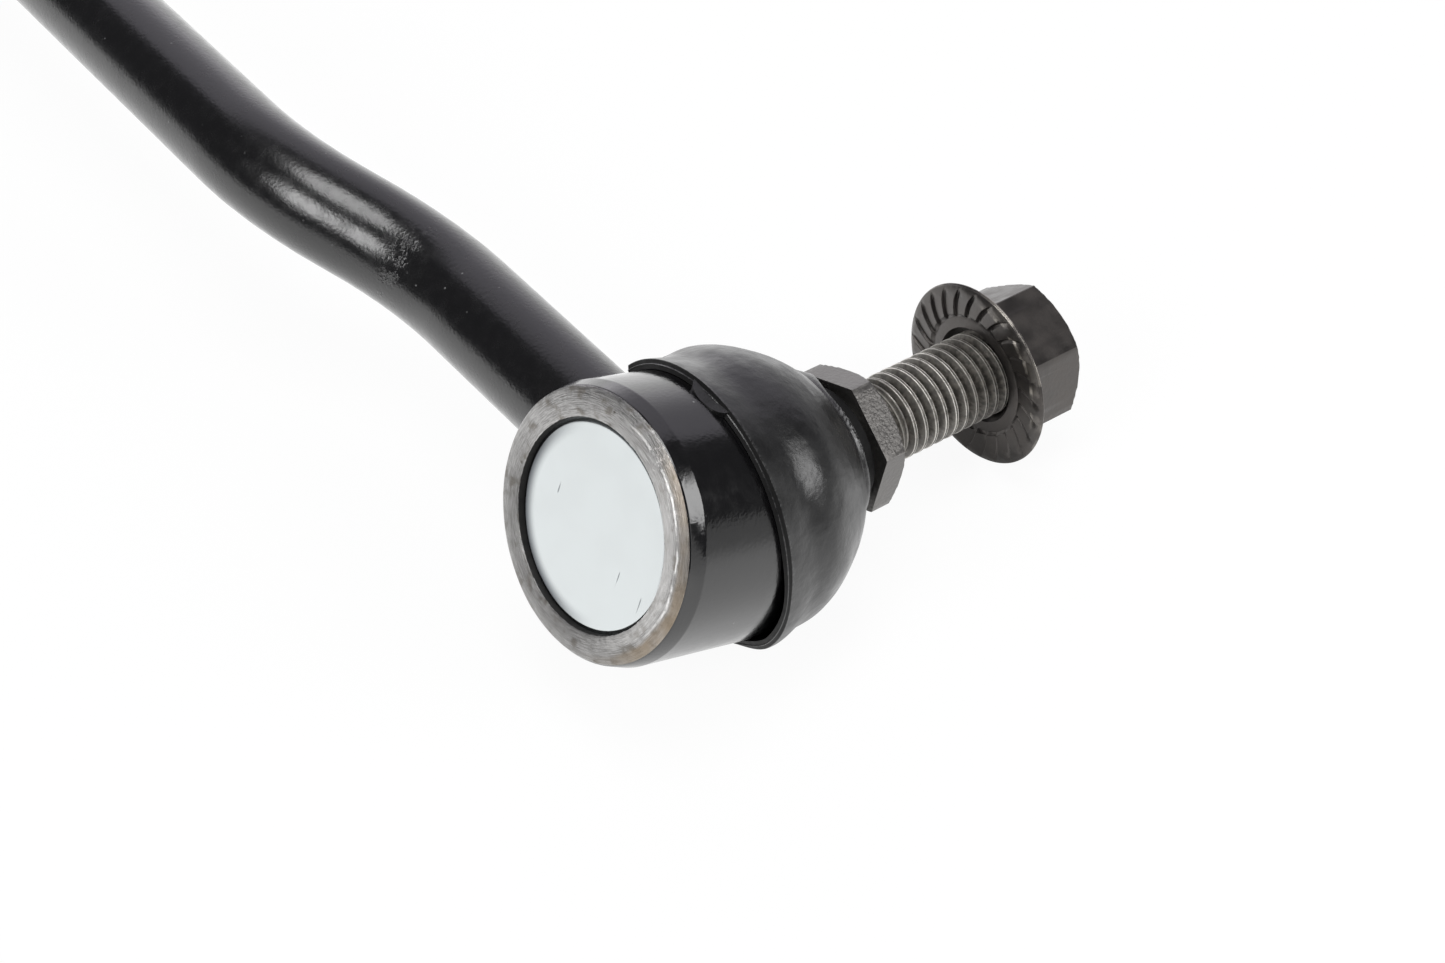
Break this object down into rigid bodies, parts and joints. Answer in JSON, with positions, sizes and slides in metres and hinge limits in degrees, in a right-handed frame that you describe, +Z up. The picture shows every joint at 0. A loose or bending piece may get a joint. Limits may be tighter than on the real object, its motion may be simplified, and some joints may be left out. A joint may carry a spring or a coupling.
{
  "type": "sway bar end link",
  "caption": "Bent steel sway bar end link with a ball joint at each end, rubber boots over the housings, threaded studs and flange nuts.",
  "frame": {"origin": "middle of the part's box on the bench it lies on, as in the picture, resting on both boot rims and both nut flanges", "axes": "+X along the rod towards the end in the picture, +Y towards the studs, +Z up"},
  "size_m": [0.3138, 0.0699, 0.0369],
  "materials": {
    "black_coat": "black electrocoat on steel, semi-gloss with fine orange peel; the crimped rim is bare steel",
    "seat_plastic": "natural acetal, hidden inside the housing",
    "spring_steel": "plain spring steel, hidden",
    "zinc_plate": "bright zinc plate, lightly scratched",
    "black_steel": "black phosphated forged steel, bright on the thread crests",
    "boot_rubber": "black moulded rubber with a soft sheen",
    "black_nut": "black oxide, slightly brown"
  },
  "bodies": {
    "link": {"link_rod": "black_coat", "housing_a": "black_coat", "front_seat_a": "seat_plastic", "rear_seat_a": "seat_plastic", "preload_washer_a": "spring_steel", "cover_plate_a": "zinc_plate", "housing_b": "black_coat", "front_seat_b": "seat_plastic", "rear_seat_b": "seat_plastic", "preload_washer_b": "spring_steel", "cover_plate_b": "zinc_plate"},
    "boot_a": {"boot_a": "boot_rubber"},
    "neck_a": {"boot_bush_a": "spring_steel"},
    "stud_a": {"ball_stud_a": "black_steel"},
    "nut_a": {"flange_nut_a": "black_nut"},
    "boot_b": {"boot_b": "boot_rubber"},
    "neck_b": {"boot_bush_b": "spring_steel"},
    "stud_b": {"ball_stud_b": "black_steel"},
    "nut_b": {"flange_nut_b": "black_nut"}
  },
  "joints": [
    {"name": "swing_a", "type": "hinge", "parent": "link", "child": "boot_a", "pos_m": [0.14, -0.01307, 0.01633], "axis": [1, 0, 0], "range_deg": [-40, 6], "deforming": ["boot_a"]},
    {"name": "yaw_a", "type": "hinge", "parent": "boot_a", "child": "neck_a", "pos_m": [0.14, -0.01307, 0.01633], "axis": [0, 0.1465, 0.9892], "range_deg": [-15, 15], "deforming": ["boot_a"]},
    {"name": "spin_a", "type": "hinge", "parent": "neck_a", "child": "stud_a", "pos_m": [0.14, -0.01307, 0.01633], "axis": [0, 0.9892, -0.1465], "continuous": true},
    {"name": "nut_travel_a", "type": "slide", "parent": "stud_a", "child": "nut_a", "axis": [0, 0.9892, -0.1465], "range_m": [-0.0168, 0.0115]},
    {"name": "swing_b", "type": "hinge", "parent": "link", "child": "boot_b", "pos_m": [-0.14, -0.01307, 0.01633], "axis": [1, 0, 0], "range_deg": [-40, 6], "deforming": ["boot_b"]},
    {"name": "yaw_b", "type": "hinge", "parent": "boot_b", "child": "neck_b", "pos_m": [-0.14, -0.01307, 0.01633], "axis": [0, 0.1465, 0.9892], "range_deg": [-15, 15], "deforming": ["boot_b"]},
    {"name": "spin_b", "type": "hinge", "parent": "neck_b", "child": "stud_b", "pos_m": [-0.14, -0.01307, 0.01633], "axis": [0, 0.9892, -0.1465], "continuous": true},
    {"name": "nut_travel_b", "type": "slide", "parent": "stud_b", "child": "nut_b", "axis": [0, 0.9892, -0.1465], "range_m": [-0.0168, 0.0115]}
  ]
}
